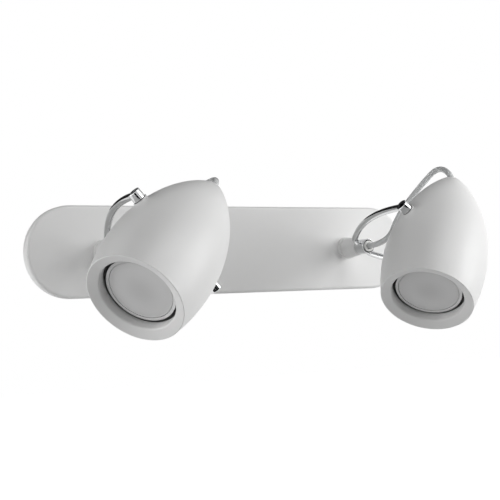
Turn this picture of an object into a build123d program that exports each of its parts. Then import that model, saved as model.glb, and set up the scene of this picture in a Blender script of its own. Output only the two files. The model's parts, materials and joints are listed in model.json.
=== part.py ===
from build123d import *
import math
import os

# Two-head wall spotlight, in millimetres.
# X runs along the plate, Z is up, the wall is the plane Y = 0 and the lamp stands out towards -Y.
# Heights called "out" are measured from the wall.

# Wall plate, a shallow pressed pan
plate_length = 354.0
plate_height = 72.4
plate_depth = 8.0
plate_sheet = 1.2
plate_edge_round = 2.5

# Wall bracket inside the pan
bracket_sheet = 1.5
bracket_length = 92.0
bracket_bar_height = 18.0
bracket_corner = 4.0
bracket_ear_width = 24.0
wall_screw_spacing = 60.0
wall_slot_length = 10.0
wall_slot_radius = 2.1
supply_hole_radius = 5.0
supply_hole_drop = 16.0

# Headless screws that hold the pan on the bracket's ears, flush with the pan's edge
plate_screw_radius = 1.5
plate_screw_length = 4.0
plate_screw_socket_radius = 0.85
plate_screw_socket_depth = 1.5
plate_screw_out = 3.3

# Push-in connectors for the three conductors
connector_length = 18.0
connector_height = 5.0
connector_width = 7.0
connector_gap = 1.5
connector_screw_gap = 0.5
connector_hole_depth = 5.0
connector_chamfer = 0.8
wire_radius = 0.8
wire_clearance = 0.1
wire_lean = 0.3
wire_drop = 5.6
wire_flat_run = 18.0
wire_rise_run = 42.0

# Swivel stems
stem_inset = 62.6
collar_radius = 9.4
collar_height = 3.4
washer_thickness = 0.5
washer_radius = 8.7
cone_length = 17.0
cone_base_radius = 9.1
cone_end_radius = 6.7
cone_floor = 4.5
cone_edge_round = 0.6
spindle_radius = 3.85
spindle_bore = 2.7
spindle_flange_radius = 4.9
spindle_flange = 1.6
spindle_tail = 3.0
running_clearance = 0.06
free_clearance = 0.35
nut_across_flats = 13.0
nut_thickness = 2.8
lock_washer_radius = 6.8
lock_washer_thickness = 0.8

# Swivel stop: a pin in the collar that runs in a groove of the cone
stop_pin_radius = 0.8
stop_pin_pitch_radius = 6.2
stop_pin_seat = 1.5
stop_pin_reach = 1.4
stop_groove_depth = 2.0
stop_groove_clearance = 0.3
stop_web_width = 1.4

# Yoke: a hub with two bent arms of round bar and a pivot barrel on each end
hub_radius = 6.3
hub_length = 12.8
hub_spigot = 5.5
hub_edge_round = 0.5
arm_radius = 2.6
arm_level = 3.5
arm_base_bend = 6.0
arm_root = 4.5
arm_stub = 0.4
pivot_out = 136.7
barrel_radius = 4.5
barrel_length = 6.5
barrel_edge_round = 0.5
barrel_recess_depth = 2.8
barrel_recess_radius = 3.9

# Pivot screws, nuts and washers
pivot_screw_radius = 2.0
pivot_screw_head_radius = 3.5
pivot_screw_head = 2.2
pivot_screw_socket_radius = 1.7
pivot_screw_socket_depth = 1.2
pivot_washer = 0.6
pivot_nut_across_flats = 7.0
pivot_nut_thickness = 3.2
pivot_hole_clearance = 0.1

# Head shell, an ogive turned about its own axis; heights are measured from the pivot
belt_radius = 39.4
belt_height = 26.1
nose_radius = 11.7
nose_tip = -65.7
rim_height = 62.9
shell_wall = 2.0
nose_flat = 1.0
nose_floor = 3.0
boss_radius = 5.4
boss_rise = 1.0
boss_depth = 4.9

# Front ring with its funnel
ring_lip = 1.4
ring_spigot = 6.0
ring_seat_wall = 2.2
ring_wall = 2.0
ring_sleeve = 6.8
ring_bore_radius = 27.4
funnel_depth = 3.2
funnel_round = 1.6
rim_round = 0.5
edge_pick = 0.01

# Lamp with a two-pin twist base
lamp_recess = 8.9
lamp_radius = 25.0
lamp_length = 46.5
lamp_rim = 9.0
lamp_neck_radius = 12.5
lamp_neck = 9.0
lens_radius = 23.0
lens_thickness = 1.4
pin_spacing = 10.0
pin_radius = 1.4
pin_head_radius = 2.5
pin_head = 2.2
pin_length = 7.0
pin_clearance = 0.5

# Lamp holder on its plate
holder_radius = 15.0
holder_length = 19.0
holder_plate_gap = 0.8
holder_plate_sheet = 1.5
holder_screw_offset = 10.5
holder_screw_depth = 8.0
small_screw_radius = 1.5
small_screw_head_radius = 2.6
small_screw_head = 1.8
lug_radius = 3.6
lug_edge = 5.4
lug_length = 22.0
lug_screw_length = 8.0
lead_hole_radius = 1.6
lead_hole_offset = 6.0
earth_lead_offset = 17.0
lead_first_run = 10.0
lead_last_run = 12.0

# Cable and its bushes
cable_radius = 2.4
cable_clearance = 0.55
bush_wall = 0.75
bush_flange_radius = 4.6
bush_flange = 1.0
exit_bush_length = 7.0
cable_start = 37.0
cable_end_past_bush = 1.8
lead_circle_radius = 1.25
# Corners of the free cable's route, as (towards the tilt side, out) from the stem's axis;
# the last run lies on the head's axis from the height of the nose run
cable_corners = {
    "left": [(0.0, 62.0), (-24.0, 67.0), (-50.0, 52.0), (-64.0, 80.0)],
    "right": [(0.0, 62.0), (-24.0, 67.0), (-45.0, 58.0), (-82.3, 76.0)],
}
cable_nose_run = -72.0

# Pose of each side: turn of the pivot axis about the stem, and tilt of the head from straight out
pivot_turn = {"left": 131.8, "right": 143.5}
head_tilt = {"left": 65.7, "right": 67.6}

# Heights along the stem
plate_back = plate_depth - plate_sheet
collar_top = plate_depth + collar_height
cone_bottom = collar_top + washer_thickness
cone_top = cone_bottom + cone_length
cone_shoulder = cone_bottom + cone_floor
hub_top = cone_top + hub_length
arm_out = cone_top + arm_level
arm_bend_start = hub_radius + arm_stub
cavity_radius = spindle_flange_radius + free_clearance
bush_bore = cable_radius + cable_clearance
bush_radius = bush_bore + bush_wall

# Places along the head's axis and along the pivot axis
shell_front = rim_height - ring_lip
ring_back = shell_front - ring_spigot
nose_face = nose_tip + nose_flat
nose_inside = nose_face + nose_floor
lamp_face = rim_height - lamp_recess
lamp_base = lamp_face - lamp_length
holder_back = lamp_base - holder_length
holder_plate_back = holder_back - holder_plate_sheet
nose_centre = nose_tip + nose_radius
nose_run = belt_height - nose_centre
ogive_radius = (belt_radius**2 - nose_radius**2 + nose_run**2) / (2 * (belt_radius - nose_radius))
ogive_centre = belt_radius - ogive_radius


def ogive(height, inset=0.0):
    """Radius of the shell's long arc at a height, moved in by the inset."""
    reach = ogive_radius - inset
    return ogive_centre + math.sqrt(reach**2 - (height - belt_height) ** 2)


boss_face = ogive(0.0) + boss_rise
boss_inside = boss_face - boss_depth
barrel_start = boss_face + pivot_washer
barrel_end = barrel_start + barrel_length
arm_end_across = barrel_start + barrel_length / 2
rim_radius = ogive(shell_front)
ring_seat_radius = rim_radius - ring_seat_wall
pivot_hole = pivot_screw_radius + pivot_hole_clearance
holder_plate_radius = ogive(holder_plate_back, shell_wall) - holder_plate_gap
lug_offset = holder_plate_radius - lug_edge

# Frames: the wall, each stem with its yoke, and each head about its pivot
WALL = Plane(origin=(0, 0, 0), x_dir=(1, 0, 0), z_dir=(0, -1, 0))
SIDES = {"left": stem_inset - plate_length / 2, "right": plate_length / 2 - stem_inset}


def pivot_axis(side):
    """Direction of a side's pivot axis in the plane of the wall."""
    turn = math.radians(pivot_turn[side])
    return Vector(math.cos(turn), 0, math.sin(turn))


def stem_frame(side):
    """Local Z runs out along the stem, local X along the pivot axis."""
    return Plane(origin=(SIDES[side], 0, 0), x_dir=pivot_axis(side), z_dir=(0, -1, 0))


def head_frame(side):
    """Local Z is the head's axis towards the light, local X the pivot axis, origin on the pivot."""
    stem = stem_frame(side)
    tilt = math.radians(head_tilt[side])
    aim = stem.z_dir * math.cos(tilt) + stem.y_dir * math.sin(tilt)
    return Plane(origin=(SIDES[side], -pivot_out, 0), x_dir=pivot_axis(side), z_dir=aim)


def turned(outline):
    """A closed outline of edges in (radius, height), turned about Z."""
    return revolve(Plane.XZ * make_face(outline), Axis.Z)


def turned_points(*points):
    """A closed polygon in (radius, height), turned about Z."""
    return turned(Polyline(*points, close=True))


def rod(radius, start, end, x=0.0, y=0.0):
    """A round bar along Z between two heights."""
    return Pos(x, y, start) * Cylinder(radius, end - start, align=(Align.CENTER, Align.CENTER, Align.MIN))


def cross_rod(radius, start, end):
    """A round bar along X between two distances from the axis."""
    return Rot(0, 90, 0) * rod(radius, start, end)


def both_ends(piece):
    """A piece on the +X side and its twin turned to the -X side."""
    return [piece, Rot(0, 0, 180) * piece]


def group(pieces):
    """Separate solids that share one node."""
    return Compound(children=[piece.solid() for piece in pieces])


def route(points, name):
    """Straight runs joined by tangent arcs, each arc taking 0.45 of the shorter run beside it."""
    corners = [Vector(*point) for point in points]
    radii = []
    for before, corner, after in zip(corners, corners[1:], corners[2:]):
        turn = math.radians((corner - before).get_angle(after - corner))
        shorter = min((corner - before).length, (after - corner).length)
        radii.append(0.45 * shorter / math.tan(turn / 2))
    print(name, "bend radii", [round(radius, 2) for radius in radii])
    return FilletPolyline(*corners, radius=radii)


def tube(points, radius, name):
    """A round cord along a route; prints its volume beside section times length."""
    path = route(points, name)
    section = Plane(origin=path @ 0, z_dir=path % 0) * Circle(radius)
    cord = sweep(section, path=path)
    expected = math.pi * radius**2 * path.length
    print(name, "volume", round(cord.volume, 1), "section x length", round(expected, 1))
    return cord


# Wall plate and what is fixed inside it

def face_plate():
    """Pressed pan with a rounded front edge, two stem holes and a screw hole in the top and bottom wall."""
    pan = extrude(SlotOverall(plate_length, plate_height), plate_depth)
    pan = fillet(pan.faces().sort_by(Axis.Z)[-1].edges(), plate_edge_round)
    inside = extrude(SlotOverall(plate_length - 2 * plate_sheet, plate_height - 2 * plate_sheet), plate_back)
    inside = fillet(inside.faces().sort_by(Axis.Z)[-1].edges(), plate_edge_round - plate_sheet)
    pan -= inside
    for x in SIDES.values():
        pan -= rod(spindle_radius + pivot_hole_clearance, 0, plate_depth, x)
    hole = rod(plate_screw_radius + pivot_hole_clearance, -plate_height, plate_height)
    pan -= Pos(0, 0, plate_screw_out) * Rot(90, 0, 0) * hole
    return pan


def wall_bracket():
    """Cross-shaped strap: a bar with two wall slots, and a strap folded up into two ears."""
    ear_face = plate_height / 2 - plate_sheet
    bar = extrude(RectangleRounded(bracket_length, bracket_bar_height, bracket_corner), bracket_sheet)
    strap = extrude(Rectangle(bracket_ear_width, 2 * ear_face), bracket_sheet)
    bracket = bar + strap
    ear_top = plate_depth - plate_edge_round
    for sign in (-1, 1):
        ear = Box(bracket_ear_width, bracket_sheet, ear_top, align=(Align.CENTER, Align.CENTER, Align.MIN))
        bracket += Pos(0, sign * (ear_face - bracket_sheet / 2), 0) * ear
        slot = extrude(SlotOverall(wall_slot_length, 2 * wall_slot_radius), bracket_sheet)
        bracket -= Pos(sign * wall_screw_spacing / 2, 0, 0) * slot
    bracket -= rod(supply_hole_radius, 0, bracket_sheet, 0, -supply_hole_drop)
    tapped = rod(plate_screw_radius, -plate_height, plate_height)
    return bracket - Pos(0, 0, plate_screw_out) * Rot(90, 0, 0) * tapped


def plate_screws():
    """Socket set screws through the pan's top and bottom walls into the ears."""
    screw = rod(plate_screw_radius, -plate_screw_length, 0)
    socket = extrude(RegularPolygon(plate_screw_socket_radius, 6), plate_screw_socket_depth)
    screw -= Pos(0, 0, -plate_screw_socket_depth) * socket
    top = Pos(0, plate_height / 2, plate_screw_out) * Rot(-90, 0, 0) * screw
    return group([top, Rot(0, 0, 180) * top])


def connector_rows():
    """Places of the three connectors on the bracket's strap, down from the plate's top screw."""
    first = plate_height / 2 - plate_screw_length - connector_screw_gap - connector_width / 2
    return [first - index * (connector_width + connector_gap) for index in range(3)]


def wire_level():
    """Height of the wires where they enter the connectors."""
    return bracket_sheet + connector_height / 2


def wire_connectors():
    """Three flat push-in connectors with a wire hole in each end."""
    bodies = []
    for row in connector_rows():
        block = Pos(0, row, bracket_sheet) * Box(
            connector_length, connector_width, connector_height, align=(Align.CENTER, Align.CENTER, Align.MIN)
        )
        block = chamfer(block.edges().filter_by(Axis.X), connector_chamfer)
        hole_floor = connector_length / 2 - connector_hole_depth
        hole = cross_rod(wire_radius + wire_clearance, hole_floor, connector_length)
        for wire_hole in both_ends(hole):
            block -= Pos(0, row, wire_level()) * wire_hole
        bodies.append(block)
    return group(bodies)


def core_wires(side):
    """Three conductors from the cable's end in the spindle to the connectors."""
    x = SIDES[side]
    inward = -math.copysign(1.0, x)
    low = spindle_tail / 2
    wires = []
    for index, row in enumerate(connector_rows()):
        spread = math.radians(90 + 120 * index)
        start_x = x + lead_circle_radius * math.cos(spread)
        start_y = lead_circle_radius * math.sin(spread)
        points = [
            (start_x, start_y, cable_start - free_clearance),
            (start_x + inward * wire_lean, start_y, wire_drop),
            (start_x + inward * wire_lean, start_y, low),
            (x + inward * wire_flat_run, start_y, low),
            (x + inward * wire_rise_run, row, wire_level()),
            (-inward * (connector_length / 2 - connector_hole_depth), row, wire_level()),
        ]
        wires.append(tube(points, wire_radius, f"core_wires_{side}"))
    return group(wires)


# Swivel stem, fixed half

def base_collar():
    """Round foot of the stem, with the seat of the stop pin."""
    collar = rod(collar_radius, plate_depth, collar_top) - rod(spindle_radius, plate_depth, collar_top)
    collar = fillet(collar.edges().group_by(Axis.Z)[-1].sort_by(SortBy.RADIUS)[-1], cone_edge_round)
    return collar - rod(stop_pin_radius, collar_top - stop_pin_seat, collar_top, 0, stop_pin_pitch_radius)


def swivel_washer():
    """Plastic friction washer between collar and cone."""
    washer = rod(washer_radius, collar_top, cone_bottom) - rod(spindle_radius, collar_top, cone_bottom)
    return washer - rod(stop_pin_radius, collar_top, cone_bottom, 0, stop_pin_pitch_radius)


def stop_pin():
    """Pin that limits the swivel to less than one turn."""
    tip = cone_bottom + stop_pin_reach
    return rod(stop_pin_radius, collar_top - stop_pin_seat, tip, 0, stop_pin_pitch_radius)


def swivel_spindle():
    """Hollow spindle: its flange holds the cone, its tail takes the nut behind the pan."""
    spindle = rod(spindle_radius, spindle_tail, cone_shoulder)
    spindle += rod(spindle_flange_radius, cone_shoulder, cone_shoulder + spindle_flange)
    return spindle - rod(spindle_bore, spindle_tail, cone_shoulder + spindle_flange)


def lock_washer():
    """Flat lock washer behind the pan."""
    start = plate_back - lock_washer_thickness
    return rod(lock_washer_radius, start, plate_back) - rod(spindle_radius, start, plate_back)


def spindle_nut():
    """Thin hexagon nut on the spindle's tail."""
    end = plate_back - lock_washer_thickness
    start = end - nut_thickness
    blank = extrude(RegularPolygon(nut_across_flats / 2, 6, major_radius=False), nut_thickness)
    return Pos(0, 0, start) * blank - rod(spindle_radius, start, end)


# Swivel stem, turning half, and yoke

def stem_cone():
    """White cone that turns on the spindle, with the stop's groove in its foot."""
    cone = turned_points(
        (spindle_radius + running_clearance, cone_bottom),
        (cone_base_radius, cone_bottom),
        (cone_end_radius, cone_top),
        (cavity_radius, cone_top),
        (cavity_radius, cone_shoulder),
        (spindle_radius + running_clearance, cone_shoulder),
    )
    cone = fillet(cone.edges().group_by(Axis.Z)[0].sort_by(SortBy.RADIUS)[-1], cone_edge_round)
    half_groove = stop_pin_radius + stop_groove_clearance
    groove = rod(stop_pin_pitch_radius + half_groove, cone_bottom, cone_bottom + stop_groove_depth)
    groove -= rod(stop_pin_pitch_radius - half_groove, cone_bottom, cone_bottom + stop_groove_depth)
    web = Pos(0, -stop_pin_pitch_radius, cone_bottom) * Box(
        stop_web_width, 4 * half_groove, 2 * stop_groove_depth
    )
    return cone - (groove - web)


def arm_lean():
    """Angle at which an arm leaves its base bend, so that one arc brings it parallel at the barrel."""
    lean = math.radians(40)
    for _ in range(60):
        across = arm_end_across - arm_bend_start - arm_base_bend * math.cos(lean)
        along = pivot_out - arm_out - arm_base_bend * (1 - math.sin(lean))
        lean = 2 * math.atan(across / along)
    return lean, along / math.sin(lean)


def yoke_arm():
    """One arm: out of the hub, up a short bend, then one long arc to its socket in the barrel."""
    lean, sweep_radius = arm_lean()
    root = Line((arm_root, arm_out), (arm_bend_start, arm_out))
    bend = JernArc(root @ 1, root % 1, arm_base_bend, 90 - math.degrees(lean))
    reach = JernArc(bend @ 1, bend % 1, sweep_radius, math.degrees(lean))
    path = Plane.XZ * Wire([root, bend, reach])
    arm = sweep(Plane(origin=path @ 0, z_dir=path % 0) * Circle(arm_radius), path=path)
    return arm - Pos(0, 0, pivot_out) * cross_rod(barrel_recess_radius, 0, barrel_end)


def yoke():
    """Hub with a spigot in the cone, a mouth for the cable's bush, and the two arms."""
    hub = turned_points(
        (spindle_bore + free_clearance, cone_top - hub_spigot),
        (cavity_radius, cone_top - hub_spigot),
        (cavity_radius, cone_top),
        (hub_radius, cone_top),
        (hub_radius, hub_top),
        (bush_radius, hub_top),
        (bush_radius, hub_top - exit_bush_length),
        (spindle_bore + free_clearance, hub_top - exit_bush_length),
    )
    hub = fillet(hub.edges().group_by(Axis.Z)[-1].sort_by(SortBy.RADIUS)[-1], hub_edge_round)
    for arm in both_ends(yoke_arm()):
        hub += arm
    return hub


def pivot_barrels():
    """Barrels on the arms' ends, bored for the pivot screw and recessed for its head."""
    barrel = cross_rod(barrel_radius, barrel_start, barrel_end)
    barrel = fillet(barrel.edges().filter_by(GeomType.CIRCLE).sort_by(Axis.X)[-1], barrel_edge_round)
    barrel -= cross_rod(pivot_screw_radius + running_clearance, barrel_start, barrel_end)
    barrel -= cross_rod(barrel_recess_radius, barrel_end - barrel_recess_depth, barrel_end)
    return group(both_ends(Pos(0, 0, pivot_out) * barrel - yoke_arm()))


def exit_bush():
    """Flanged bush in the hub's mouth where the cable leaves."""
    bush = rod(bush_radius, hub_top - exit_bush_length, hub_top)
    bush += rod(bush_flange_radius, hub_top, hub_top + bush_flange)
    return bush - rod(bush_bore, hub_top - exit_bush_length, hub_top + bush_flange)


def head_point(height, side):
    """A point on a head's axis, seen in the stem's frame."""
    tilt = math.radians(head_tilt[side])
    return (0, height * math.sin(tilt), pivot_out + height * math.cos(tilt))


def cable_end_height():
    """Height on the head's axis where the cable's sheath ends."""
    return nose_inside + bush_flange + cable_end_past_bush


def supply_cable(side):
    """Clear round cable: out of the stem, low behind the head, up in a loop and into its nose."""
    points = [
        (0, 0, cable_start),
        *[(0, *corner) for corner in cable_corners[side]],
        head_point(cable_nose_run, side),
        head_point(cable_end_height(), side),
    ]
    return tube(points, cable_radius, f"supply_cable_{side}")


# Head

def shell_outline(inset, face, front):
    """Edges of the ogive and its round nose between a flat across the nose and a front height."""
    reach = nose_radius - inset
    centre_gap = math.hypot(ogive_centre, nose_run)
    joint_radius = -ogive_centre / centre_gap * reach
    joint_height = nose_centre - nose_run / centre_gap * reach
    start = math.sqrt(reach**2 - (nose_centre - face) ** 2)
    middle = (face + joint_height) / 2
    nose_mid = (math.sqrt(reach**2 - (nose_centre - middle) ** 2), middle)
    nose = ThreePointArc((start, face), nose_mid, (joint_radius, joint_height))
    long_mid = (joint_height + front) / 2
    long_arc = ThreePointArc(
        (joint_radius, joint_height), (ogive(long_mid, inset), long_mid), (ogive(front, inset), front)
    )
    return nose, long_arc


def shell_solid(inset, face, front):
    """Filled body of the ogive, moved in by the inset."""
    nose, long_arc = shell_outline(inset, face, front)
    closing = Polyline(long_arc @ 1, (0, front), (0, face), nose @ 0)
    return turned(Wire([nose, long_arc, *closing.edges()]))


def head_shell():
    """Ogive shell with a bushed nose, a mouth for the front ring, pivot bosses and two screw lugs."""
    outside = shell_solid(0.0, nose_face, shell_front)
    inside = shell_solid(shell_wall, nose_inside, ring_back)
    shell = outside - inside
    for boss in both_ends(cross_rod(boss_radius, boss_inside, boss_face)):
        shell += boss
    for y in (-lug_offset, lug_offset):
        lug = rod(lug_radius, holder_plate_back - lug_length, holder_plate_back, 0, y)
        shell += lug & outside
        shell -= rod(small_screw_radius, holder_back - lug_screw_length, holder_plate_back, 0, y)
    shell -= rod(ring_seat_radius, ring_back, shell_front)
    shell -= rod(bush_radius, nose_face, nose_inside)
    return shell - cross_rod(pivot_hole, -boss_face, boss_face)


def front_ring():
    """White ring in the mouth: a funnel that slopes in to the lamp's bore."""
    funnel_foot = rim_height - funnel_depth
    ring = turned_points(
        (ring_seat_radius, ring_back),
        (ring_seat_radius, shell_front),
        (rim_radius, shell_front),
        (rim_radius, rim_height),
        (ring_bore_radius, funnel_foot),
        (ring_bore_radius, funnel_foot - ring_sleeve),
        (ring_bore_radius + ring_wall, funnel_foot - ring_sleeve),
        (ring_bore_radius + ring_wall, ring_back),
    )
    bore_edge = ring.edges().filter_by(lambda edge: abs(edge.center().Z - funnel_foot) < edge_pick)
    ring = fillet(bore_edge, funnel_round)
    rim_edge = ring.edges().filter_by(lambda edge: abs(edge.center().Z - rim_height) < edge_pick)
    return fillet(rim_edge, rim_round)


def lamp_body():
    """Reflector lamp: flared body, straight rim and narrow neck, recessed for its lens."""
    return turned_points(
        (0, lamp_base),
        (lamp_neck_radius, lamp_base),
        (lamp_neck_radius, lamp_base + lamp_neck),
        (lamp_radius, lamp_face - lamp_rim),
        (lamp_radius, lamp_face),
        (lens_radius, lamp_face),
        (lens_radius, lamp_face - lens_thickness),
        (0, lamp_face - lens_thickness),
    )


def lamp_lens():
    """Frosted disc in the lamp's face."""
    return rod(lens_radius, lamp_face - lens_thickness, lamp_face)


def lamp_pins():
    """Two headed contact pins of the twist base."""
    pin = rod(pin_radius, lamp_base - pin_length, lamp_base, pin_spacing / 2)
    pin += rod(pin_head_radius, lamp_base - pin_length, lamp_base - pin_length + pin_head, pin_spacing / 2)
    return group(both_ends(pin))


def lamp_holder():
    """Ceramic holder with a pocket for each pin."""
    holder = rod(holder_radius, holder_back, lamp_base)
    pocket_floor = lamp_base - pin_length - pin_clearance
    pocket = rod(pin_head_radius + pin_clearance, pocket_floor, lamp_base, pin_spacing / 2)
    screw_end = holder_back + holder_screw_depth
    screw_hole = rod(small_screw_radius, holder_back, screw_end, 0, holder_screw_offset)
    for cut in both_ends(pocket) + both_ends(screw_hole):
        holder -= cut
    return holder


def holder_plate():
    """Round steel plate that carries the holder, screwed to the shell's lugs."""
    plate = rod(holder_plate_radius, holder_plate_back, holder_back)
    holes = [
        rod(small_screw_radius, holder_plate_back, holder_back, 0, holder_screw_offset),
        rod(small_screw_radius + pivot_hole_clearance, holder_plate_back, holder_back, 0, lug_offset),
        rod(lead_hole_radius, holder_plate_back, holder_back, lead_hole_offset),
    ]
    for hole in holes:
        for cut in both_ends(hole):
            plate -= cut
    return plate


def holder_screws():
    """Two screws through the plate's back into the holder."""
    screw_end = holder_back + holder_screw_depth
    screw = rod(small_screw_radius, holder_plate_back, screw_end, 0, holder_screw_offset)
    head_start = holder_plate_back - small_screw_head
    screw += rod(small_screw_head_radius, head_start, holder_plate_back, 0, holder_screw_offset)
    return group(both_ends(screw))


def holder_plate_screws():
    """Two screws through the plate's front into the shell's lugs."""
    screw = rod(small_screw_radius, holder_back - lug_screw_length, holder_back, 0, lug_offset)
    screw += rod(small_screw_head_radius, holder_back, holder_back + small_screw_head, 0, lug_offset)
    return group(both_ends(screw))


def pivot_screws():
    """Socket screws through the barrels into the nuts."""
    seat = barrel_end - barrel_recess_depth
    screw = cross_rod(pivot_screw_radius, boss_inside - pivot_nut_thickness, seat)
    screw += cross_rod(pivot_screw_head_radius, seat, seat + pivot_screw_head)
    socket = extrude(RegularPolygon(pivot_screw_socket_radius, 6), pivot_screw_socket_depth)
    screw -= Pos(seat + pivot_screw_head - pivot_screw_socket_depth, 0, 0) * Rot(0, 90, 0) * socket
    return group(both_ends(screw))


def pivot_washers():
    """Plastic washers between bosses and barrels."""
    washer = cross_rod(barrel_radius, boss_face, barrel_start)
    washer -= cross_rod(pivot_hole, boss_face, barrel_start)
    return group(both_ends(washer))


def pivot_nuts():
    """Hexagon nuts inside the bosses."""
    blank = extrude(RegularPolygon(pivot_nut_across_flats / 2, 6, major_radius=False), pivot_nut_thickness)
    nut = Pos(boss_inside - pivot_nut_thickness, 0, 0) * Rot(0, 90, 0) * blank
    nut -= cross_rod(pivot_screw_radius, boss_inside - pivot_nut_thickness, boss_inside)
    return group(both_ends(nut))


def nose_bush():
    """Bush in the nose, flanged on both sides of the wall."""
    bush = rod(bush_radius, nose_face, nose_inside)
    bush += rod(bush_flange_radius, nose_face - bush_flange, nose_face)
    bush += rod(bush_flange_radius, nose_inside, nose_inside + bush_flange)
    return bush - rod(bush_bore, nose_face - bush_flange, nose_inside + bush_flange)


def lamp_leads(side):
    """Two leads from the cable's end to the holder, and an earth lead to the plate."""
    start = cable_end_height()
    ends = [
        (lead_hole_offset, 0, holder_back),
        (-lead_hole_offset, 0, holder_back),
        (0, earth_lead_offset, holder_plate_back),
    ]
    leads = []
    for x, y, end in ends:
        spread = math.atan2(y, x)
        start_x = lead_circle_radius * math.cos(spread)
        start_y = lead_circle_radius * math.sin(spread)
        points = [
            (start_x, start_y, start),
            (start_x, start_y, start + lead_first_run),
            (x, y, end - lead_last_run),
            (x, y, end),
        ]
        leads.append(tube(points, wire_radius, f"lamp_leads_{side}"))
    return group(leads)


# Nodes by the frame in which they are drawn
FIXED_PIECES = {
    "face_plate": face_plate,
    "wall_bracket": wall_bracket,
    "plate_screws": plate_screws,
    "wire_connectors": wire_connectors,
}
STEM_PIECES = {
    "base_collar": base_collar,
    "swivel_washer": swivel_washer,
    "stop_pin": stop_pin,
    "swivel_spindle": swivel_spindle,
    "lock_washer": lock_washer,
    "spindle_nut": spindle_nut,
    "stem_cone": stem_cone,
    "yoke": yoke,
    "pivot_barrels": pivot_barrels,
    "exit_bush": exit_bush,
}
HEAD_PIECES = {
    "head_shell": head_shell,
    "front_ring": front_ring,
    "lamp_body": lamp_body,
    "lamp_lens": lamp_lens,
    "lamp_pins": lamp_pins,
    "lamp_holder": lamp_holder,
    "holder_plate": holder_plate,
    "holder_screws": holder_screws,
    "holder_plate_screws": holder_plate_screws,
    "pivot_screws": pivot_screws,
    "pivot_washers": pivot_washers,
    "pivot_nuts": pivot_nuts,
    "nose_bush": nose_bush,
}


def save(piece, node, frame):
    """Place each solid of a piece drawn in a frame and write them as one node."""
    placed = [frame.location * solid for solid in piece.solids()]
    export_step(placed[0] if len(placed) == 1 else group(placed), f"parts/{node}.step")


def main():
    """Draw each piece once and write it for every place where it sits."""
    os.makedirs("parts", exist_ok=True)
    for name, draw in FIXED_PIECES.items():
        save(draw(), name, WALL)
    for pieces, frame in ((STEM_PIECES, stem_frame), (HEAD_PIECES, head_frame)):
        for name, draw in pieces.items():
            piece = draw()
            for side in SIDES:
                save(piece, f"{name}_{side}", frame(side))
    for side in SIDES:
        save(core_wires(side), f"core_wires_{side}", WALL)
        save(supply_cable(side), f"supply_cable_{side}", stem_frame(side))
        save(lamp_leads(side), f"lamp_leads_{side}", head_frame(side))


main()
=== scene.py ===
"""Two-head wall spotlight: finishes, cables, lamp faces and studio, laid out as an add-on."""

import json

import bmesh
import bpy
import numpy as np
from mathutils import Matrix, Vector


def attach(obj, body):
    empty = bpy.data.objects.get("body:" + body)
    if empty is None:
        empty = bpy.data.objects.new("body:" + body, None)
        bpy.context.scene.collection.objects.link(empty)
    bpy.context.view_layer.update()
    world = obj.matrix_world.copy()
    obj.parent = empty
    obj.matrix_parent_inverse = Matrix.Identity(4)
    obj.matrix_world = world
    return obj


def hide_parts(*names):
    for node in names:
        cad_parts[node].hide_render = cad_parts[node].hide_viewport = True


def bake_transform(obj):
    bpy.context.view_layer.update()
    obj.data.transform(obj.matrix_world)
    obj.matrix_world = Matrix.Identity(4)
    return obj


bl_info = {
    "name": "Wall Spotlight",
    "version": (1, 0, 0),
    "blender": (4, 5, 0),
    "location": "3D View > Sidebar > Spotlight",
    "description": "Finishes, cables, lamp faces and studio of a two-head wall spotlight",
    "category": "Object",
}

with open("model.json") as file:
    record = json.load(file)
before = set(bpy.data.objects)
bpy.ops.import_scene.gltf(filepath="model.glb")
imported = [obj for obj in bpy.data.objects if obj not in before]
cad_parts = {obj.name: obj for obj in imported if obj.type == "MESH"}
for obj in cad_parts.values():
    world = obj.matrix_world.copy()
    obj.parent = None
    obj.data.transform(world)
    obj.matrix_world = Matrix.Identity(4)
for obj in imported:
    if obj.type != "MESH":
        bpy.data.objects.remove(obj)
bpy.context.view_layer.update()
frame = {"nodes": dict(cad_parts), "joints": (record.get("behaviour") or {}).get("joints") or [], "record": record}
joints = {joint["name"]: joint for joint in frame["joints"]}
node_slots = {row["node"]: row["material_slot"] for row in frame["record"]["subparts"]}

SIDES = ("left", "right")
UP = (0.0, 0.0, 1.0)
OUT = np.array((0.0, -1.0, 0.0))
HEAD_TILT = {"left": np.radians(65.7), "right": np.radians(67.6)}

# Route of each clear cable beside the stem's axis, as (towards the tilt side, out), in metres
CABLE_ROUTES = {
    "left": (
        (0.0, 0.0370),
        (0.0, 0.0620),
        (-0.0240, 0.0670),
        (-0.0500, 0.0520),
        (-0.0660, 0.0800),
        (-0.0740, 0.1033),
        (-0.05368, 0.11246),
    ),
    "right": (
        (0.0, 0.0370),
        (0.0, 0.0692),
        (-0.0320, 0.0601),
        (-0.0654, 0.0712),
        (-0.0808, 0.0810),
        (-0.06657, 0.10926),
        (-0.05446, 0.11425),
    ),
}

# Angles of three cores or conductors round their middle, and the circle that the conductors lie on
THIRDS = np.radians((90.0, 210.0, 330.0))
WIRE_CIRCLE = 0.00125
WIRE_COLOURS = {
    "brown_wire": (0.10, 0.035, 0.015),
    "blue_wire": (0.02, 0.09, 0.38),
    "green_wire": (0.16, 0.36, 0.03),
}

# Conductors: heights of the connectors' rows, distances out from the wall, distances from the stem
# towards the plate's middle, and how far from that middle they end
CONNECTOR_ROWS = (0.0282, 0.0197, 0.0112)
STEM_OUT, NECK_OUT, WALL_OUT, CONNECTOR_OUT = 0.03665, 0.0056, 0.0015, 0.0040
NECK_SHIFT, WIRE_TURN, WIRE_RISE = 0.0003, 0.018, 0.042
WIRE_END = 0.004

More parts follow.
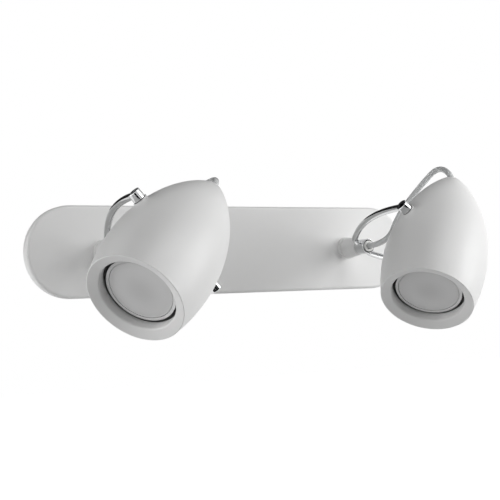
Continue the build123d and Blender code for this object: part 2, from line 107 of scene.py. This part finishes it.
# Leads: holes in the lamp holder as (along the pivot axis, across it, along the aim), and places
# along the aim
LAMP_LEAD_ENDS = ((0.006, 0.0, -0.0115), (-0.006, 0.0, -0.0115), (0.0, 0.017, -0.0130))
NOSE_START, NOSE_END = -0.0589, -0.0489
LEAD_STRAIGHT = 0.012
LAMP_FACE = 0.0540

# Fineness of the surfaces
LINE_STEPS = 14
CABLE_SIDES, CORE_SIDES, WIRE_SIDES, FACE_SIDES = 28, 14, 16, 96
FACE_ROWS, EDGE_ROWS = 20, 6
WELD = 1e-7

# Noise mostly stays in this span; refractive index of paint, plastic and glass
NOISE_LOW, NOISE_HIGH = 0.3, 0.7
INDEX = 1.5

# Studio: camera as fitted to the photograph, lights as (place, size), cards as (place, sides)
CAMERA_PLACE = (-0.4401, -0.8141, -0.0382)
CAMERA_AIM = (0.4925, 0.8694, 0.0407)
CAMERA_UP = (0.0121, -0.0536, 0.9985)
SENSOR_WIDTH = 36.0
LAMP_MIDDLE = (0.0, -0.07, 0.0)
LIGHTS = {
    "key": ((0.97, -0.84, 0.25), 0.9),
    "fill": ((-1.17, -0.50, 0.11), 0.8),
    "rim": ((-1.17, 0.36, 0.11), 0.8),
    "top": ((0.25, -0.85, 0.95), 0.8),
}
CARDS = {
    "card_low": ((0.02, -0.74, -0.26), (0.80, 0.36)),
    "card_floor": ((-0.14, -0.36, -0.38), (0.60, 0.30)),
    "card_front": ((0.50, -0.92, -0.02), (0.50, 0.40)),
    "card_back": ((0.0, 0.75, 0.45), (2.00, 0.95)),
    "card_top": ((-0.10, -0.30, 1.10), (1.40, 0.80)),
}
CARD_COLOUR = (0.012, 0.012, 0.013)
FLOOR_COLOUR = (0.62, 0.62, 0.62)
FLOOR_REACH = 4.0
FLOOR_GLOW = 0.95
WHITE = (1.0, 1.0, 1.0, 1.0)
SQUARE = np.array(((-1, -1), (1, -1), (1, 1), (-1, 1)))


# Sizes and colours that a user would change

def colour(name, description, default):
    """Colour property in scene-linear light."""
    return bpy.props.FloatVectorProperty(
        name=name, description=description, subtype="COLOR",
        size=3, min=0.0, max=1.0, default=default)


def length(name, description, default):
    """Length property in metres."""
    return bpy.props.FloatProperty(
        name=name, description=description, unit="LENGTH",
        min=0.0001, max=2.0, precision=5, default=default)


def share(name, description, default):
    """Property from 0 to 1."""
    return bpy.props.FloatProperty(
        name=name, description=description, subtype="FACTOR", min=0.0, max=1.0, default=default)


def power(name, description, default):
    """Power of a light in watts."""
    return bpy.props.FloatProperty(
        name=name, description=description, unit="POWER", min=0.0, default=default)


class SpotlightFinishes(bpy.types.PropertyGroup):
    """Colours and gloss of the lamp's finishes."""

    paint: colour("Paint", "White of the plate, stems, heads and front rings", (0.83, 0.83, 0.825))
    paint_roughness: share("Paint roughness", "Mean roughness of the satin paint", 0.42)
    chrome: colour("Chrome", "Colour of the yokes and barrels", (0.56, 0.565, 0.57))
    steel: colour(
        "Zinc plate", "Colour of the bracket, spindles, nuts and screws", (0.56, 0.57, 0.58))
    dark_steel: colour("Black oxide", "Colour of the pivot screws", (0.035, 0.035, 0.038))
    nylon: colour("Nylon", "Colour of the swivel washers and bushes", (0.78, 0.78, 0.76))
    # Partly painted shade: the pivot washers' near-black is partly their own colour and partly stands in for the
    # contact shade where the barrels meet the heads.
    dark_nylon: colour("Black nylon", "Colour of the pivot washers", (0.03, 0.03, 0.03))
    sheath: colour("Cable sheath", "Tint of the clear cable", (0.86, 0.87, 0.87))
    strands: colour("Tinned strands", "Colour of the cores in the clear cable", (0.68, 0.69, 0.70))
    lens: colour("Lamp face", "Colour of the frosted lamp face", (0.66, 0.66, 0.66))
    lamp: colour("Lamp body", "Colour of the lamp's rim and body", (0.74, 0.74, 0.74))
    brass: colour("Brass", "Colour of the lamp's pins", (0.72, 0.53, 0.22))
    ceramic: colour("Ceramic", "Colour of the lamp holder", (0.82, 0.80, 0.76))
    connector: colour("Connectors", "Colour of the push-in connectors", (0.76, 0.76, 0.73))


class SpotlightWiring(bpy.types.PropertyGroup):
    """Sizes of the cable, its cores and the loose wires."""

    cable_diameter: length("Cable diameter", "Outside of the clear sheath", 0.0048)
    core_diameter: length("Core diameter", "Each twisted core in the cable", 0.0020)
    core_circle: length("Core circle", "Radius of the circle on which the cores lie", 0.00118)
    core_pitch: length("Core pitch", "Length of one turn of the twisted cores", 0.024)
    wire_diameter: length(
        "Wire diameter", "Conductors behind the plate and leads in the heads", 0.0016)


class SpotlightLampFace(bpy.types.PropertyGroup):
    """Sizes of the frosted lamp face."""

    radius: length("Radius", "Outside of the face", 0.0229)
    crown: length("Crown", "Rise of the face's middle over its edge", 0.0006)
    edge: length("Edge", "Rounding of the face's edge", 0.0007)
    thickness: length("Thickness", "Thickness of the face", 0.0013)


class SpotlightStudio(bpy.types.PropertyGroup):
    """Camera, floor and lights."""

    focal_length: bpy.props.FloatProperty(
        name="Focal length", description="Camera lens", unit="CAMERA",
        min=10.0, max=300.0, default=79.5)
    floor_drop: length("Floor drop", "Distance of the floor below the lamp's middle", 0.45)
    key_power: power("Key light", "Power of the large light in front at the right", 11.0)
    fill_power: power("Fill light", "Power of the soft light at the left", 3.0)
    rim_power: power("Rim light", "Power of the soft light behind at the left", 5.8)
    top_power: power("Top light", "Power of the soft light above", 4.4)
    surround: share("Surround", "Strength of the even light from all sides", 0.04)


# Places

def stem_axes(side):
    """Foot of a stem, and the directions of its pivot axis and of the side its head tilts to."""
    across = -np.array(joints[side + "_tilt"]["axis"])
    return np.array(joints[side + "_swivel"]["pos_m"]), across, np.cross(OUT, across)


def beside_stem(side, points):
    """Points given as (towards the tilt side, out), in the frame: foot + towards * b + out * n."""
    foot, _, towards = stem_axes(side)
    points = np.atleast_2d(points)
    return foot + points[:, :1] * towards + points[:, 1:] * OUT


def head_axes(side):
    """Pivot point of a head, and its pivot axis, its cross direction and its aim."""
    _, across, towards = stem_axes(side)
    aim = OUT * np.cos(HEAD_TILT[side]) + towards * np.sin(HEAD_TILT[side])
    return np.array(joints[side + "_tilt"]["pos_m"]), across, np.cross(aim, across), aim


def in_head(side, points):
    """Points given as (along the pivot axis, across it, along the aim), in the frame."""
    pivot, *axes = head_axes(side)
    return pivot + np.atleast_2d(points) @ np.array(axes)


def conductor_route(side, angle, row):
    """Corners of a conductor's route: down the stem, along the wall, and up to its connector."""
    middle = stem_axes(side)[0][0]
    inward = -np.sign(middle)
    x, height = middle + WIRE_CIRCLE * np.cos(angle), WIRE_CIRCLE * np.sin(angle)
    neck = x + inward * NECK_SHIFT
    return np.array((
        (x, -STEM_OUT, height),
        (neck, -NECK_OUT, height),
        (neck, -WALL_OUT, height),
        (middle + inward * WIRE_TURN, -WALL_OUT, height),
        (middle + inward * WIRE_RISE, -CONNECTOR_OUT, row),
        (-inward * WIRE_END, -CONNECTOR_OUT, row),
    ))


def lead_route(side, hole):
    """Corners of a lead's route: in through the nose, then straight into its hole in the holder."""
    x, y, end = hole
    angle = np.arctan2(y, x)
    start = WIRE_CIRCLE * np.cos(angle), WIRE_CIRCLE * np.sin(angle)
    return in_head(side, (
        (*start, NOSE_START), (*start, NOSE_END), (x, y, end - LEAD_STRAIGHT), (x, y, end)))


# Surfaces

def unit(vectors):
    """Vectors divided by their lengths."""
    return vectors / np.linalg.norm(vectors, axis=-1, keepdims=True)


def smooth_line(corners):
    """Points along a quadratic NURBS line, tied at both ends, with the corners as its controls."""
    data = bpy.data.curves.new("route", "CURVE")
    data.dimensions = "3D"
    data.resolution_u = LINE_STEPS
    spline = data.splines.new("NURBS")
    spline.points.add(len(corners) - 1)
    spline.points.foreach_set("co", np.column_stack((corners, np.ones(len(corners)))).ravel())
    spline.order_u = 3
    spline.use_endpoint_u = True
    line = bpy.data.objects.new("route", data)
    mesh = bpy.data.meshes.new_from_object(line)
    points = np.empty(len(mesh.vertices) * 3)
    mesh.vertices.foreach_get("co", points)
    bpy.data.objects.remove(line)
    bpy.data.curves.remove(data)
    bpy.data.meshes.remove(mesh)
    return points.reshape(-1, 3)


def distance_along(path):
    """Length of the path from its start to each point: the running sum of its steps."""
    steps = np.linalg.norm(np.diff(path, axis=0), axis=1)
    return np.concatenate(([0.0], np.cumsum(steps)))


def square_to(path, reference):
    """Two directions square to a path: reference x run, and run x that."""
    run = unit(np.gradient(path, axis=0))
    first = unit(np.cross(reference, run))
    return first, np.cross(run, first)


def tube(path, reference, radius, sides=CABLE_SIDES):
    """Round profile carried along a path, and the distance along the path at each ring.

    Ring point = path point + radius * (cos(angle) * first + sin(angle) * second), with first and
    second square to the run. The first and last rings shrink to the path's ends, which closes it.
    """
    first, second = square_to(path, reference)
    rows = np.concatenate(([0], np.arange(len(path)), [len(path) - 1]))
    radii = np.full(len(rows), radius)
    radii[[0, -1]] = 0.0
    angle = np.linspace(0.0, 2.0 * np.pi, sides, endpoint=False)[None, :, None]
    ring = np.cos(angle) * first[rows, None] + np.sin(angle) * second[rows, None]
    return path[rows, None] + radii[:, None, None] * ring, distance_along(path)[rows]


def twisted(path, reference, circle, pitch, start):
    """Line winding round a path: path + circle * (cos, sin) of start + 2 pi * distance / pitch."""
    first, second = square_to(path, reference)
    angle = (start + 2.0 * np.pi * distance_along(path) / pitch)[:, None]
    return path + circle * (np.cos(angle) * first + np.sin(angle) * second)


def turned(side, radius, height):
    """Profile turned about a head's axis: radius * (cos, sin) of the angle, and height."""
    angle = np.linspace(0.0, 2.0 * np.pi, FACE_SIDES, endpoint=False)
    local = np.stack(np.broadcast_arrays(
        radius[:, None] * np.cos(angle), radius[:, None] * np.sin(angle), height[:, None]), axis=-1)
    return in_head(side, local.reshape(-1, 3)).reshape(local.shape)


def face_profile(sizes):
    """Radii and heights of a lamp face, from its middle over the front to the back's middle.

    The front's height over its edge is crown * (1 - (radius / flat) ** 2), the rounding is a
    quarter circle, and the back is flat.
    """
    flat = sizes.radius - sizes.edge
    across = np.linspace(0.0, flat, FACE_ROWS)
    bend = np.linspace(0.0, np.pi / 2.0, EDGE_ROWS)[1:]
    radius = np.concatenate((
        across, flat + sizes.edge * np.sin(bend), [sizes.radius, flat / 2.0, 0.0]))
    height = np.concatenate((
        LAMP_FACE + sizes.crown * (1.0 - (across / flat) ** 2),
        LAMP_FACE - sizes.edge * (1.0 - np.cos(bend)),
        np.full(3, LAMP_FACE - sizes.thickness)))
    return radius, height


def piece_of(name, surfaces, material):
    """One object of grids that close round their second parameter.

    Each grid comes with one value a row, and the UV is (share of the turn, that value).
    """
    points, quads, uvs, count = [], [], [], 0
    for grid, along in surfaces:
        rows, turns = grid.shape[:2]
        index = count + np.arange(rows * turns).reshape(rows, turns)
        after = np.roll(index, -1, axis=1)
        quads.append(np.stack(
            (index[:-1], after[:-1], after[1:], index[1:]), axis=-1).reshape(-1, 4))
        turn = np.arange(turns) / turns
        u = np.stack((turn, turn + 1.0 / turns, turn + 1.0 / turns, turn), axis=-1)
        v = np.stack((along[:-1], along[:-1], along[1:], along[1:]), axis=-1)
        uvs.append(np.stack(np.broadcast_arrays(u[None], v[:, None]), axis=-1).reshape(-1, 2))
        points.append(grid.reshape(-1, 3))
        count += rows * turns
    mesh = bpy.data.meshes.new(name)
    mesh.from_pydata(np.concatenate(points).tolist(), [], np.concatenate(quads).tolist())
    mesh.uv_layers.new(name="surface").data.foreach_set("uv", np.concatenate(uvs).ravel())
    shell = bmesh.new()
    shell.from_mesh(mesh)
    bmesh.ops.remove_doubles(shell, verts=shell.verts, dist=WELD)
    bmesh.ops.recalc_face_normals(shell, faces=shell.faces)
    shell.to_mesh(mesh)
    shell.free()
    mesh.polygons.foreach_set("use_smooth", np.ones(len(mesh.polygons), bool))
    mesh.materials.append(material)
    piece = bpy.data.objects.new(name, mesh)
    bpy.context.scene.collection.objects.link(piece)
    return piece


def lay_wire(name, corners, reference, radius, skin, body, node):
    """Wire along a route's corners that rides on a body and stands for a CAD node's wires."""
    path = smooth_line(corners)
    wire = piece_of(name, [tube(path, reference, radius, WIRE_SIDES)], skin)
    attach(wire, body)
    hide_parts(node)


# Finishes

class Finish:
    """A node material with one main shader, whose steady values sit on the shader's own sockets."""

    def __init__(self, name, **sockets):
        self.material = bpy.data.materials.new(name)
        self.material.use_nodes = True
        self.tree = self.material.node_tree
        self.tree.nodes.clear()
        self.shader = self.node("BsdfPrincipled", **sockets)
        self.surface(self.shader.outputs[0])
        self.place = self.node("TexCoord").outputs["Object"]

    def node(self, kind, settings=None, **inputs):
        """Adds a node; an input is a value or a socket to link, named with _ for its spaces."""
        made = self.tree.nodes.new("ShaderNode" + kind)
        for key, value in (settings or {}).items():
            setattr(made, key, value)
        for key, value in inputs.items():
            self.put(made, key.replace("_", " "), value)
        return made

    def put(self, node, socket, value):
        """Sets a node's input, or links it."""
        if isinstance(value, bpy.types.NodeSocket):
            self.tree.links.new(value, node.inputs[socket])
        else:
            node.inputs[socket].default_value = value

    def surface(self, socket):
        """Makes a shader the material's surface."""
        output = self.tree.nodes.get("Surface") or self.node("OutputMaterial")
        output.name = "Surface"
        self.put(output, "Surface", socket)

    def own_uv(self):
        """The piece's own UV: share of the turn, and the value given for each row."""
        return self.node("UVMap", {"uv_map": "surface"}).outputs[0]

    def stretched(self, place, *scale):
        """Coordinates scaled differently along each direction."""
        return self.node("Mapping", Vector=place, Scale=scale).outputs[0]

    def noise(self, scale, detail=3.0, place=None):
        """Noise from 0 to 1, with features about 1 / scale metres across."""
        return self.node(
            "TexNoise", Vector=place or self.place, Scale=scale, Detail=detail).outputs["Fac"]

    def spread(self, value, low=0.0, high=1.0):
        """Noise's usual span carried to a low and a high value."""
        return self.node(
            "MapRange", Value=value, From_Min=NOISE_LOW, From_Max=NOISE_HIGH,
            To_Min=low, To_Max=high).outputs[0]

    def tint(self, value, base, change):
        """Base colour that is darker by the given share where the value is 0, and full at 1."""
        mixed = self.node("Mix", {"data_type": "RGBA"}, Factor=value)
        darker, full, result = mixed.inputs[6], mixed.inputs[7], mixed.outputs[2]
        darker.default_value = (*(c * (1.0 - change) for c in base), 1.0)
        full.default_value = (*base, 1.0)
        self.put(self.shader, "Base Color", result)

    def clouded(self, base, change, scale):
        """Base colour that drifts with a noise."""
        self.tint(self.spread(self.noise(scale)), base, change)

    def gloss(self, value, low, high):
        """Roughness that follows a noise from a low to a high value."""
        self.put(self.shader, "Roughness", self.spread(value, low, high))

    def relief(self, height, strength, depth):
        """Fine relief in the shader's normal."""
        self.put(self.shader, "Normal", self.node(
            "Bump", Height=height, Strength=strength, Distance=depth).outputs[0])


def white_paint(finishes):
    """Satin powder coat: a fine orange-peel relief, faint drift in white and gloss."""
    paint, mean = Finish("white_paint", IOR=INDEX), finishes.paint_roughness
    paint.clouded(finishes.paint, change=0.025, scale=22.0)
    paint.gloss(paint.noise(160.0), low=mean - 0.05, high=mean + 0.06)
    paint.relief(paint.noise(1500.0, detail=2.0), strength=0.12, depth=0.00006)
    return paint.material


def chrome_plate(finishes):
    """Polished chrome: nearly sharp, with faint haze and polishing marks."""
    chrome = Finish("chrome", Metallic=1.0)
    chrome.clouded(finishes.chrome, change=0.04, scale=90.0)
    chrome.gloss(chrome.noise(240.0, detail=4.0), low=0.035, high=0.085)
    chrome.relief(chrome.noise(2600.0, detail=2.0), strength=0.025, depth=0.00003)
    return chrome.material


def zinc_plate(finishes):
    """Zinc-plated steel: cloudy blue-grey plate with rolled lines."""
    zinc = Finish("zinc_steel", Metallic=1.0)
    zinc.clouded(finishes.steel, change=0.22, scale=130.0)
    zinc.gloss(zinc.noise(320.0), low=0.26, high=0.42)
    rolled = zinc.noise(900.0, place=zinc.stretched(zinc.place, 0.08, 1.0, 1.0))
    zinc.relief(rolled, strength=0.15, depth=0.00006)
    return zinc.material


def black_oxide(finishes):
    """Black-oxide steel: near black with a faint drift and a dull shine."""
    oxide = Finish("black_oxide", Metallic=1.0)
    oxide.clouded(finishes.dark_steel, change=0.35, scale=300.0)
    oxide.gloss(oxide.noise(420.0), low=0.30, high=0.46)
    oxide.relief(oxide.noise(1800.0), strength=0.10, depth=0.00004)
    return oxide.material


def moulded(name, base, low, high, change):
    """Moulded plastic or ceramic: a fine skin, gloss from low to high and a drift in colour."""
    skin = Finish(name, IOR=INDEX)
    skin.clouded(base, change, scale=140.0)
    skin.gloss(skin.noise(380.0), low, high)
    skin.relief(skin.noise(2200.0, detail=2.0), strength=0.12, depth=0.00005)
    return skin.material


def bare_brass(finishes):
    """Bare brass with dull patches."""
    brass = Finish("brass", Metallic=1.0)
    brass.clouded(finishes.brass, change=0.30, scale=260.0)
    brass.gloss(brass.noise(500.0), low=0.20, high=0.40)
    brass.relief(brass.noise(1500.0), strength=0.08, depth=0.00004)
    return brass.material


def clear_sheath(finishes):
    """Clear soft plastic with drawn lines along the cable and slight haze."""
    sheath = Finish("clear_sheath", IOR=INDEX, Transmission_Weight=0.45)
    place = sheath.stretched(sheath.own_uv(), 26.0, 30.0, 1.0)
    lines = sheath.noise(1.0, detail=2.0, place=place)
    sheath.tint(sheath.spread(lines), finishes.sheath, change=0.05)
    sheath.gloss(lines, low=0.10, high=0.22)
    sheath.relief(lines, strength=0.10, depth=0.0001)
    return sheath.material


def tinned_strands(finishes):
    """Tinned copper strands: fine twisted lines along each core."""
    tinned = Finish("tinned_strands", Metallic=0.25)
    place = tinned.stretched(tinned.own_uv(), 12.0, 700.0, 1.0)
    lay = tinned.node(
        "TexWave", {"wave_type": "BANDS", "bands_direction": "DIAGONAL"},
        Vector=place, Scale=0.32, Distortion=0.6).outputs["Fac"]
    tinned.tint(lay, finishes.strands, change=0.20)
    tinned.gloss(tinned.noise(900.0), low=0.28, high=0.44)
    tinned.relief(lay, strength=0.2, depth=0.0001)
    return tinned.material


def wire_skin(name, base):
    """Wire insulation with drawn lines along the wire."""
    skin = Finish(name, IOR=INDEX)
    place = skin.stretched(skin.own_uv(), 18.0, 60.0, 1.0)
    lines = skin.noise(1.0, detail=2.0, place=place)
    skin.tint(skin.spread(lines), base, change=0.14)
    skin.gloss(lines, low=0.26, high=0.42)
    skin.relief(lines, strength=0.15, depth=0.00008)
    return skin.material


def frosted_face(finishes):
    """Frosted glass over a reflector: a softly darker middle, a pale edge and an etched grain."""
    face = Finish("frosted_face", IOR=INDEX, Coat_Weight=0.15, Coat_Roughness=0.25)
    ramp = face.node("ValToRGB", Fac=face.node("SeparateXYZ", Vector=face.own_uv()).outputs["Y"])
    ramp.color_ramp.interpolation = "EASE"
    for stop, reach, level in zip(ramp.color_ramp.elements, (0.05, 0.80), (0.86, 1.0)):
        stop.position, stop.color = reach, (*(c * level for c in finishes.lens), 1.0)
    face.put(face.shader, "Base Color", ramp.outputs[0])
    face.gloss(face.noise(700.0), low=0.40, high=0.55)
    face.relief(face.noise(3200.0, detail=2.0), strength=0.20, depth=0.00006)
    return face.material


def dress(material, slot):
    """Gives a finish to every CAD node of one of the record's slots."""
    for name, node in frame["nodes"].items():
        if node_slots[name] == slot:
            node.data.materials.clear()
            node.data.materials.append(material)


# Studio

def sheet(name, corners, material):
    """Flat four-cornered stage piece."""
    mesh = bpy.data.meshes.new(name)
    mesh.from_pydata(corners.tolist(), [], [(0, 1, 2, 3)])
    mesh.materials.append(material)
    made = bpy.data.objects.new(name, mesh)
    bpy.context.scene.collection.objects.link(made)
    return made


def seen_directly(tree):
    """Socket that is 1 for rays from camera, mirrors and glass, and 0 for light that bounces."""
    rays = tree.nodes.new("ShaderNodeLightPath").outputs
    part, total = (tree.nodes.new("ShaderNodeMath") for _ in range(2))
    part.operation = total.operation = "ADD"
    total.use_clamp = True
    tree.links.new(rays["Is Camera Ray"], part.inputs[0])
    tree.links.new(rays["Is Glossy Ray"], part.inputs[1])
    tree.links.new(part.outputs[0], total.inputs[0])
    tree.links.new(rays["Is Transmission Ray"], total.inputs[1])
    return total.outputs[0]


def floor_paper():
    """Paper, pale to the camera, mirrors and glass, that still takes a soft shadow."""
    paper = Finish("floor_paper", Roughness=0.9)
    paper.clouded(FLOOR_COLOUR, change=0.02, scale=6.0)
    strength = paper.node("Math", {"operation": "MULTIPLY"})
    paper.put(strength, 0, seen_directly(paper.tree))
    paper.put(strength, 1, FLOOR_GLOW)
    glow = paper.node("Emission", Color=WHITE, Strength=strength.outputs[0])
    both = paper.node("AddShader")
    paper.put(both, 0, paper.shader.outputs[0])
    paper.put(both, 1, glow.outputs[0])
    paper.surface(both.outputs[0])
    return paper.material


def card_felt():
    """Dull, nearly black felt."""
    felt = Finish("card_felt", Roughness=0.95)
    felt.clouded(CARD_COLOUR, change=0.3, scale=8.0)
    return felt.material


def place_camera(scene, focal_length):
    """Camera at the photograph's place, looking the same way."""
    data = bpy.data.cameras.new("camera")
    data.lens, data.sensor_width = focal_length, SENSOR_WIDTH
    camera = bpy.data.objects.new("camera", data)
    back = -Vector(CAMERA_AIM).normalized()
    right = Vector(CAMERA_UP).cross(back).normalized()
    turn = Matrix((right, back.cross(right), back)).transposed()
    camera.matrix_world = Matrix.Translation(CAMERA_PLACE) @ turn.to_4x4()
    scene.collection.objects.link(camera)
    scene.camera = camera


def light_world(scene, surround):
    """White surround to the camera, mirrors and glass; a weaker even light for everything else."""
    world = bpy.data.worlds.new("surround")
    world.use_nodes = True
    tree = world.node_tree
    tree.nodes.clear()
    strength = tree.nodes.new("ShaderNodeMapRange")
    strength.inputs["To Min"].default_value = surround
    strength.inputs["To Max"].default_value = 1.0
    tree.links.new(seen_directly(tree), strength.inputs["Value"])
    glow = tree.nodes.new("ShaderNodeBackground")
    glow.inputs["Color"].default_value = WHITE
    tree.links.new(strength.outputs[0], glow.inputs["Strength"])
    tree.links.new(glow.outputs[0], tree.nodes.new("ShaderNodeOutputWorld").inputs["Surface"])
    scene.world = world


def hang_light(name, place, size, watts):
    """Square soft light aimed at the lamp's middle."""
    data = bpy.data.lights.new(name, "AREA")
    data.size, data.energy = size, watts
    light = bpy.data.objects.new(name, data)
    light.location = place
    aim = Vector(LAMP_MIDDLE) - light.location
    light.rotation_euler = aim.to_track_quat("-Z", "Y").to_euler()
    bpy.context.scene.collection.objects.link(light)


def hang_card(name, place, sides, felt):
    """Dark card that only mirrors see, square to its line to the lamp's middle."""
    facing = unit(np.subtract(LAMP_MIDDLE, place))
    side = unit(np.cross(UP, facing))
    spans = SQUARE * np.array(sides) / 2.0
    card = sheet(name, place + spans[:, :1] * side + spans[:, 1:] * np.cross(facing, side), felt)
    card.visible_camera = card.visible_diffuse = False
    card.visible_shadow = card.visible_transmission = False


# Operators

class SPOTLIGHT_OT_supply_cables(bpy.types.Operator):
    """Draws each clear cable loop with its three twisted cores, between yoke and head."""

    bl_idname = "spotlight.supply_cables"
    bl_label = "Supply cables"

    def execute(self, context):
        wiring, finishes = context.scene.spotlight_wiring, context.scene.spotlight_finishes
        sheath, strands = clear_sheath(finishes), tinned_strands(finishes)
        for side in SIDES:
            across = stem_axes(side)[1]
            path = smooth_line(beside_stem(side, CABLE_ROUTES[side]))
            cable = piece_of(
                f"clear_cable_{side}", [tube(path, across, wiring.cable_diameter / 2.0)], sheath)
            lines = [
                twisted(path, across, wiring.core_circle, wiring.core_pitch, start)
                for start in THIRDS
            ]
            cores = piece_of(
                f"cable_cores_{side}",
                [tube(line, across, wiring.core_diameter / 2.0, CORE_SIDES) for line in lines],
                strands)
            for piece in (cable, cores):
                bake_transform(piece)
            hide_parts(f"supply_cable_{side}")
        return {"FINISHED"}


class SPOTLIGHT_OT_core_wires(bpy.types.Operator):
    """Draws the conductors from each stem to the connectors, and the leads to each lamp holder."""

    bl_idname = "spotlight.core_wires"
    bl_label = "Core wires and lamp leads"

    def execute(self, context):
        radius = context.scene.spotlight_wiring.wire_diameter / 2.0
        skins = [wire_skin(name, base) for name, base in WIRE_COLOURS.items()]
        for side in SIDES:
            for index, (angle, row, skin) in enumerate(zip(THIRDS, CONNECTOR_ROWS, skins), 1):
                lay_wire(
                    f"core_wire_{side}_{index}", conductor_route(side, angle, row), UP, radius,
                    skin, "base", f"core_wires_{side}")
            across = head_axes(side)[1]
            for index, (hole, skin) in enumerate(zip(LAMP_LEAD_ENDS, skins), 1):
                lay_wire(
                    f"lamp_lead_{side}_{index}", lead_route(side, hole), across, radius,
                    skin, f"{side}_head", f"lamp_leads_{side}")
        return {"FINISHED"}


class SPOTLIGHT_OT_lamp_faces(bpy.types.Operator):
    """Turns the frosted, slightly crowned lamp faces, and finishes the lamps behind them."""

    bl_idname = "spotlight.lamp_faces"
    bl_label = "Lamps"

    def execute(self, context):
        finishes, sizes = context.scene.spotlight_finishes, context.scene.spotlight_lamp_face
        frosted = frosted_face(finishes)
        radius, height = face_profile(sizes)
        for side in SIDES:
            surface = turned(side, radius, height), radius / sizes.radius
            face = piece_of(f"frosted_face_{side}", [surface], frosted)
            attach(face, f"{side}_head")
            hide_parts(f"lamp_lens_{side}")
        glass = moulded("lamp_glass", finishes.lamp, low=0.18, high=0.30, change=0.03)
        ceramic = moulded("ceramic", finishes.ceramic, low=0.50, high=0.70, change=0.08)
        dress(glass, "lamp_body")
        dress(bare_brass(finishes), "brass")
        dress(ceramic, "holder_ceramic")
        return {"FINISHED"}


class SPOTLIGHT_OT_painted_pieces(bpy.types.Operator):
    """Paints the plate, collars, cones, heads and front rings in satin white."""

    bl_idname = "spotlight.painted_pieces"
    bl_label = "Painted pieces"

    def execute(self, context):
        dress(white_paint(context.scene.spotlight_finishes), "white_paint")
        return {"FINISHED"}


class SPOTLIGHT_OT_chrome_yokes(bpy.types.Operator):
    """Plates the yokes and pivot barrels with chrome."""

    bl_idname = "spotlight.chrome_yokes"
    bl_label = "Chrome yokes"

    def execute(self, context):
        dress(chrome_plate(context.scene.spotlight_finishes), "chrome")
        return {"FINISHED"}


class SPOTLIGHT_OT_hardware(bpy.types.Operator):
    """Finishes the bracket, spindles, screws, washers, bushes and connectors."""

    bl_idname = "spotlight.hardware"
    bl_label = "Bracket, screws and bushes"

    def execute(self, context):
        finishes = context.scene.spotlight_finishes
        plastics = {
            "nylon": moulded("nylon", finishes.nylon, low=0.34, high=0.50, change=0.04),
            # Partly painted shade: these washers are near-black partly as their own colour and partly to stand in
            # for the contact shade where the barrels meet the heads.
            "dark_nylon": moulded(
                "dark_nylon", finishes.dark_nylon, low=0.40, high=0.55, change=0.20),
            "connector_plastic": moulded(
                "connector_plastic", finishes.connector, low=0.26, high=0.42, change=0.05),
        }
        dress(zinc_plate(finishes), "steel")
        dress(black_oxide(finishes), "dark_steel")
        for slot, plastic in plastics.items():
            dress(plastic, slot)
        return {"FINISHED"}


class SPOTLIGHT_OT_studio(bpy.types.Operator):
    """Sets the camera, a plain pale floor, soft lights and dark cards for the chrome to mirror."""

    bl_idname = "spotlight.studio"
    bl_label = "Studio"

    def execute(self, context):
        scene, studio = context.scene, context.scene.spotlight_studio
        scene.view_settings.view_transform = "Standard"
        place_camera(scene, studio.focal_length)
        depth = np.full(len(SQUARE), -studio.floor_drop)
        sheet("floor", np.column_stack((SQUARE * FLOOR_REACH, depth)), floor_paper())
        light_world(scene, studio.surround)
        for name, (place, size) in LIGHTS.items():
            hang_light(f"{name}_light", place, size, getattr(studio, f"{name}_power"))
        felt = card_felt()
        for name, (place, sides) in CARDS.items():
            hang_card(name, place, sides, felt)
        return {"FINISHED"}


class SPOTLIGHT_PT_panel(bpy.types.Panel):
    """Lists the spotlight's pieces and settings."""

    bl_idname = "SPOTLIGHT_PT_panel"
    bl_label = "Wall Spotlight"
    bl_space_type = "VIEW_3D"
    bl_region_type = "UI"
    bl_category = "Spotlight"

    def draw(self, context):
        for operator in OPERATORS:
            self.layout.operator(operator.bl_idname)
        for name, group in SETTINGS.items():
            box = self.layout.box()
            box.label(text=group.__doc__.rstrip("."))
            for key in group.__annotations__:
                box.prop(getattr(context.scene, name), key)


OPERATORS = (
    SPOTLIGHT_OT_supply_cables,
    SPOTLIGHT_OT_core_wires,
    SPOTLIGHT_OT_lamp_faces,
    SPOTLIGHT_OT_painted_pieces,
    SPOTLIGHT_OT_chrome_yokes,
    SPOTLIGHT_OT_hardware,
    SPOTLIGHT_OT_studio,
)
SETTINGS = {
    "spotlight_finishes": SpotlightFinishes,
    "spotlight_wiring": SpotlightWiring,
    "spotlight_lamp_face": SpotlightLampFace,
    "spotlight_studio": SpotlightStudio,
}
CLASSES = (*SETTINGS.values(), *OPERATORS, SPOTLIGHT_PT_panel)


def register():
    """Registers the classes, and gives the scene its settings."""
    for made in CLASSES:
        bpy.utils.register_class(made)
    for name, group in SETTINGS.items():
        setattr(bpy.types.Scene, name, bpy.props.PointerProperty(type=group))


def unregister():
    """Takes the settings and the classes out again."""
    for name in SETTINGS:
        delattr(bpy.types.Scene, name)
    for made in reversed(CLASSES):
        bpy.utils.unregister_class(made)


def main():
    """Makes every piece and the studio."""
    register()
    bpy.ops.spotlight.supply_cables()
    bpy.ops.spotlight.core_wires()
    bpy.ops.spotlight.lamp_faces()
    bpy.ops.spotlight.painted_pieces()
    bpy.ops.spotlight.chrome_yokes()
    bpy.ops.spotlight.hardware()
    bpy.ops.spotlight.studio()


if __name__ == "__main__":
    main()
